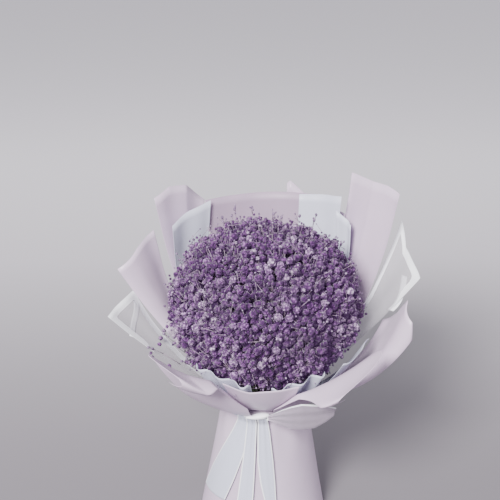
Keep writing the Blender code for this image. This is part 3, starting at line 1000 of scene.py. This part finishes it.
def make_spray(name, polar_range, azimuth_range, seed, prototypes, crowd, materials):
    """Flowers, buds and twigs of one spray; gives back the place where its stem ends."""
    draw = random.Random(seed)
    middle_polar = 0.0 if polar_range[0] == 0 else sum(polar_range) / 2
    crown = dome_place(middle_polar, sum(azimuth_range) / 2, 1.0)
    if polar_range[1] > 100.0:
        polar_range = (polar_range[0], LOWEST_POLAR)
    apex = upward(FAN_APEX)
    reach = (STEM_TOP - FAN_APEX) / (crown[2] - FAN_APEX)
    stem_end = mix(apex, crown, reach)
    fork = mix(apex, crown, mix(reach, 1.0, 0.35))
    parts = SprayParts()
    add_twig(parts.twigs, stem_end, fork, 1.3, 1.0, 6)
    hubs = []
    for place, size, tint, kind in scatter_flowers(draw, polar_range, azimuth_range, crowd):
        hub = find_hub(parts, hubs, place, apex, fork, draw)
        normal = dome_normal(place)
        direction = normal + drift(draw, 0.33)
        prototype = draw.choice(prototypes[kind])
        place_copy(parts.flowers, prototype, place, direction, size, draw.uniform(0, TAU), tint)
        add_twig(parts.twigs, hub, place - direction * 0.5 * size, 0.38, 0.26)
        if draw.random() < SIDE_BUD_SHARE:
            aside = place + drift(draw, 5.0) + normal * draw.uniform(2.0, 6.0)
            bud_size = draw.uniform(0.8, 1.5)
            if inside_papers(aside):
                parts.add_budded_twig(mix(hub, place, 0.3), aside, 0.32, 0.24, normal, bud_size)
        if draw.random() < CROSSING_TWIG_SHARE:
            level = np.cross(normal, drift(draw, 1.0))
            far = place + normal * (size + 1.0) + 20.0 * level / np.linalg.norm(level)
            if inside_papers(far):
                parts.add_budded_twig(place + normal * size * 0.6, far, 0.3, 0.2, level, 0.9)
    parts.finish(name, materials)
    return stem_end


def add_stem(name, ring_radius, azimuth, slope, top, material):
    """One cut stem: straight through the spiral, jointed, up to where its head branches."""
    stem = bmesh.new()

    def centre(height):
        return (outward(azimuth) * ring_radius + sideways(azimuth) * slope * (height - TIE_HEIGHT)
                + upward(height))

    joints = [0.8, 62.0, 128.0, STEM_TOP - 10.0]
    for low, high in zip(joints, joints[1:]):
        add_twig(stem, centre(low), centre(high), STEM_RADIUS * 0.95, STEM_RADIUS * 0.9, 10)
        if high < joints[-1]:
            knuckle = centre(high)
            add_twig(stem, knuckle - upward(1.6), knuckle + upward(1.6), 1.75, 1.75, 10)
    add_twig(stem, centre(joints[-1]), top, STEM_RADIUS * 0.9, 1.3, 10)
    add_solid(name + "_stem", stem, (material, "dyed_flowers"), name)


# Tips of the stray sprigs that stand out of the dome
STRAY_TIPS = (
    (-36, 50, 396), (-15, 55, 396), (11, 50, 390), (21, 48, 386), (60, 40, 385), (91, 20, 362),
    (-122, -5, 255), (-134, -24, 245), (-97, -50, 243), (-51, 45, 387), (103, 5, 345), (43, 50, 387),
)


def make_stray_sprigs(materials, prototypes):
    """Thin sprigs with small dry heads that stand clear of the flowers."""
    draw = random.Random(77)
    parts = SprayParts()
    for tip in STRAY_TIPS:
        end = np.array(tip, float)
        start = mix(end, upward(FAN_APEX), 0.24)
        bend = mix(start, end, 0.6) + jitter(draw, 2.0)
        add_twig(parts.twigs, start, bend, 0.5, 0.4, 4)
        add_twig(parts.twigs, bend, end, 0.4, 0.3, 4)
        add_bud(parts.buds, end, end - bend, 1.9)
        for side in range(3):
            aside = end + drift(draw, 3.6)
            parts.add_budded_twig(mix(bend, end, 0.7), aside, 0.28, 0.22, aside - bend,
                                  draw.uniform(0.9, 1.5))
        if end[2] < DOME_CENTRE:
            for head in range(4):
                place = mix(start, end, draw.uniform(0.35, 1.0)) + drift(draw, 5.0)
                place_copy(parts.flowers, draw.choice(prototypes["open"]), place, end - bend,
                           draw.uniform(2.2, 3.8), draw.uniform(0, TAU), draw.uniform(0.5, 0.85))
    parts.finish("stray_sprig", materials)


def make_sprays(materials):
    draw = random.Random(5)
    prototypes = {kind: [build(draw) for number in range(count)]
                  for kind, build, count in (("open", open_flower, 6), ("pompon", pompon_flower, 6),
                                             ("budding", budding_flower, 4))}
    crowd = Crowd()
    cells = [("spray_middle", (0, 24.5), (0, 360), 0.0, 0.0)]
    for ring, count, polar_range, ring_radius, slope in (("inner", 6, (24.5, 57.5), 4.2, 0.22),
                                                         ("outer", 12, (57.5, 130.0), 8.4, 0.45)):
        half = 180.0 / count
        for number in range(count):
            azimuth_range = (half * (2 * number - 1), half * (2 * number + 1))
            cells.append((f"spray_{ring}_{number + 1}", polar_range, azimuth_range, ring_radius, slope))
    for seed, (name, polar_range, azimuth_range, ring_radius, slope) in enumerate(cells):
        top = make_spray(name, polar_range, azimuth_range, 100 + seed, prototypes, crowd, materials)
        azimuth = sum(azimuth_range) / 2 - (TWIST if ring_radius else 0.0)
        add_stem(name, ring_radius, azimuth, slope, top, materials["stem"])
    make_stray_sprigs(materials, prototypes)


# Floor, light and camera, in metres

FLOOR_RADIUS = 14.0
CAMERA_PLACE = (-0.0174, -0.867, 0.7129)
CAMERA_TILT = 68.0
LENS = 57.6
SENSOR_WIDTH = 36.0
LIGHT_AIM = (0.0, 0.0, 0.22)


def floor_finish():
    """Plain floor with painted shade: dark near the camera, paler towards its far side."""
    finish = Finish("floor_painted_shade")
    depth = finish.texture("ShaderNodeSeparateXYZ", finish.object_place(), "Y")
    finish.colour(finish.ramp(finish.step(depth, -0.1, 1.9),
                              [(0.0, (0.185, 0.17, 0.19)), (0.45, (0.6, 0.57, 0.615)),
                               (1.0, (0.92, 0.885, 0.94))]))
    finish.set(Roughness=0.9)
    return finish.material


def make_stage():
    floor = bmesh.new()
    bmesh.ops.create_circle(floor, cap_ends=True, segments=64, radius=FLOOR_RADIUS)
    make_object("floor", floor, floor_finish())


def add_light(name, place, size, power, colour):
    light = bpy.data.lights.new(name, "AREA")
    light.shape = "DISK"
    light.size = size
    light.energy = power
    light.color = colour
    lamp = new_object(name, light)
    lamp.location = place
    lamp.rotation_euler = (Vector(LIGHT_AIM) - Vector(place)).to_track_quat("-Z", "Y").to_euler()


def make_lights():
    world = bpy.data.worlds.new("studio")
    world.use_nodes = True
    sky = world.node_tree.nodes["Background"]
    sky.inputs["Color"].default_value = (0.8, 0.79, 0.84, 1.0)
    sky.inputs["Strength"].default_value = 0.95
    bpy.context.scene.world = world
    add_light("key_light", (-0.85, -1.85, 1.85), 0.9, 175.0, (1.0, 0.985, 0.98))
    add_light("side_light", (1.9, 0.4, 1.3), 1.2, 6.0, (0.95, 0.95, 1.0))


def make_camera():
    data = bpy.data.cameras.new("camera")
    data.sensor_width = SENSOR_WIDTH
    data.lens = LENS
    data.clip_end = 60.0
    camera = new_object("camera", data)
    camera.location = CAMERA_PLACE
    camera.rotation_euler = (math.radians(CAMERA_TILT), 0.0, 0.0)
    bpy.context.scene.camera = camera


def make_bouquet():
    lavender = paper_finish("lavender_paper", (0.64, 0.515, 0.66), (0.58, 0.46, 0.605), 0.4)
    liner = paper_finish("liner_paper", (0.6, 0.62, 0.74), (0.55, 0.57, 0.69), 0.42)
    film = film_finish("bordered_film", (0.66, 0.63, 0.69), (0.86, 0.87, 0.92), 9.0, 0.78)
    ribbon = (organza_finish("organza", (0.7, 0.73, 0.9), 1.5, 0.22), "organza_ribbon")
    sheer = organza_finish("sheer_organza", (0.6, 0.5, 0.63), 1.2, 0.55)
    buds = grain_finish("closed_buds", 300.0, 2.0, [(0.3, (0.09, 0.055, 0.11)), (0.55, (0.22, 0.15, 0.26)),
                                                    (0.75, (0.48, 0.39, 0.52))], 0.4, 0.8)
    spray_materials = {"flowers": flower_finish(), "twigs": twig_finish(), "buds": buds,
                       "stem": stem_finish()}
    make_liners((liner, "liner_paper"))
    make_wings((film, "bordered_film"))
    make_papers(lavender)
    make_sleeve((lavender, "lavender_paper"))
    make_tails(ribbon)
    make_bow((sheer, "organza_ribbon"))
    make_knot(ribbon)
    make_band(ribbon)
    make_tie(grain_finish("tie_string", 1200.0, 4.0, [(0.3, (0.33, 0.27, 0.16)), (0.7, (0.56, 0.48, 0.33))],
                          0.5, 0.85))
    make_sprays(spray_materials)


make_camera()
make_stage()
make_lights()
make_bouquet()
